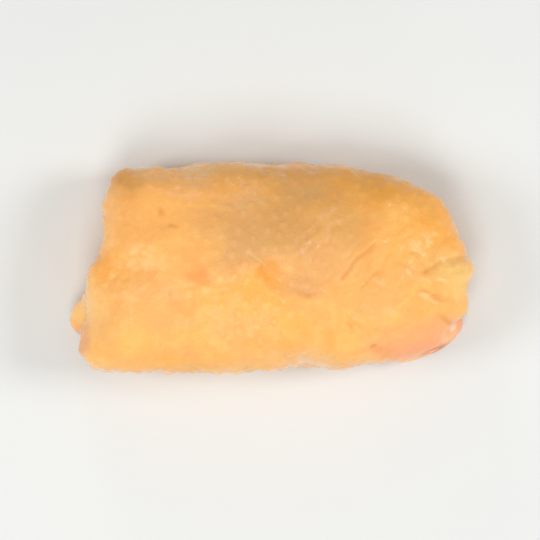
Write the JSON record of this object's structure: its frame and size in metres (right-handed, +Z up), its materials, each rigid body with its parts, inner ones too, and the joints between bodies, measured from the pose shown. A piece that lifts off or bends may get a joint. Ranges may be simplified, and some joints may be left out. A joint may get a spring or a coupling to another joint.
{
  "type": "chicken thigh",
  "caption": "Raw skin-on chicken thigh lying skin side up: a rounded loaf of meat under creased yellow skin that is tucked under it, with bare meat showing at the near corners.",
  "frame": {"origin": "on the table, under the middle of the thigh's box", "axes": "+X along the thigh towards the knee end, +Y to its far side, +Z up through the skin side"},
  "size_m": [0.1134, 0.0592, 0.0364],
  "materials": {
    "skin": "raw chicken skin: warm yellow over fat, moist soft sheen, fine raised follicles and wrinkles",
    "meat": "raw chicken meat: pink, moist and glossy, with fine fibres and a little pale fat"
  },
  "bodies": {
    "root": {"skin": "skin", "meat": "meat"}
  },
  "joints": []
}
